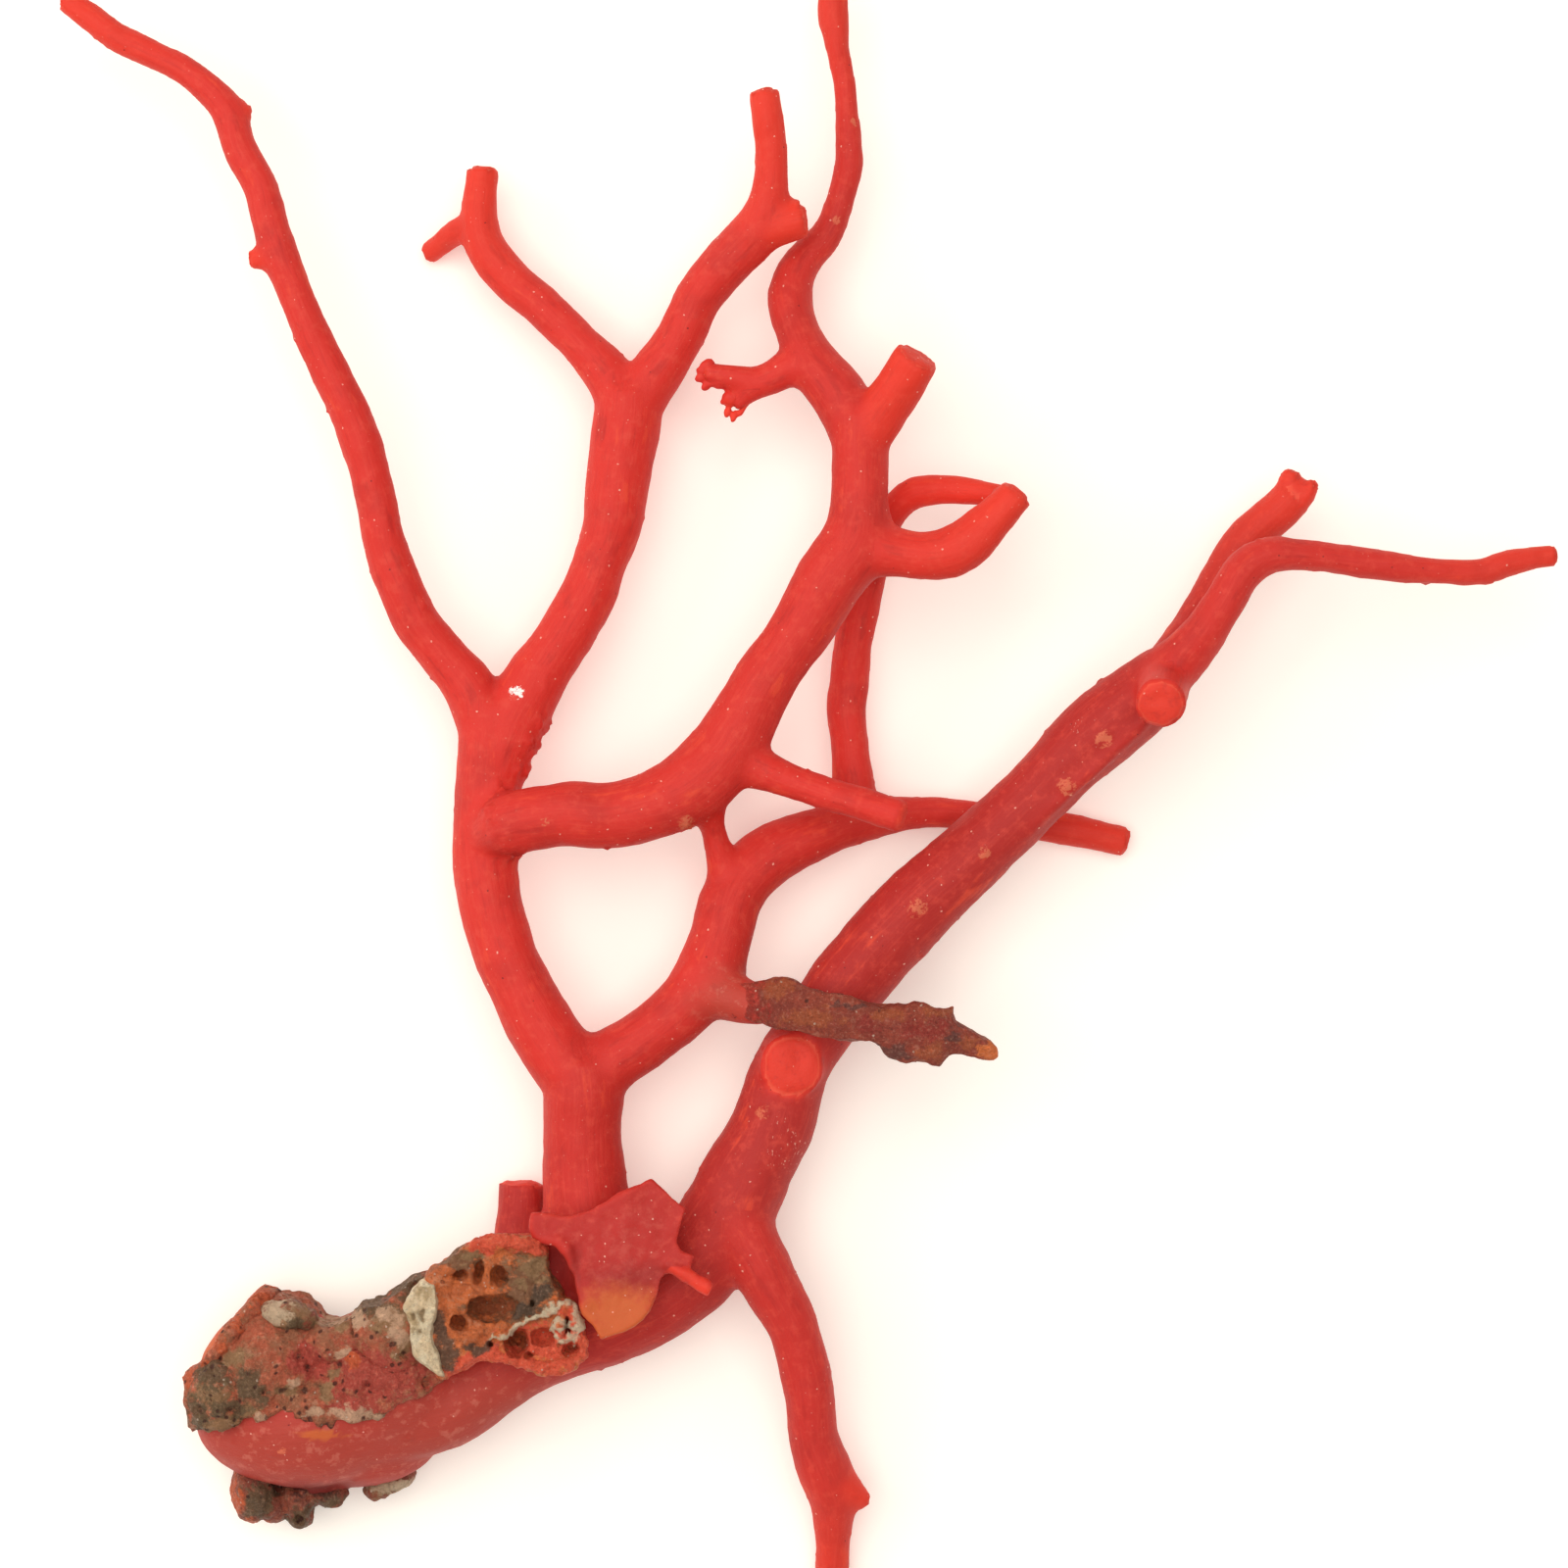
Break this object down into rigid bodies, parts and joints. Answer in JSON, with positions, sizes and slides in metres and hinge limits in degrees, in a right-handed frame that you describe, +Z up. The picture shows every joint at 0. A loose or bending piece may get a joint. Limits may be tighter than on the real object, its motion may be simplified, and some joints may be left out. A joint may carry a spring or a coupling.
{
  "type": "red coral branch",
  "caption": "Branch of red coral broken from its rock, lying flat as a loose specimen or ornament.",
  "frame": {"origin": "middle of the bounding box in plan, on the surface that the coral lies on", "axes": "+Z up from that surface, +Y along the fan from the foot's side towards the branch tips, +X to the right seen from above"},
  "size_m": [0.129, 0.1435, 0.018],
  "materials": {
    "coral": "satin",
    "dark_coral": "satin",
    "dusty_coral": "dusty",
    "brown_crust": "rough",
    "crusted_foot": "rough"
  },
  "bodies": {
    "root": {"foot": "crusted_foot", "main_stem": "dark_coral", "low_branch": "coral", "right_trunk": "dark_coral", "right_front_twig": "coral", "right_back_twig": "coral", "left_trunk": "coral", "left_limb": "coral", "outer_left_branch": "coral", "inner_left_branch": "coral", "inner_left_twig": "coral", "inner_right_twig": "coral", "middle_limb": "coral", "middle_top_twig": "coral", "lower_limb": "coral", "upright_twig": "coral", "crusted_twig": "brown_crust", "broken_web": "dusty_coral"}
  },
  "joints": []
}
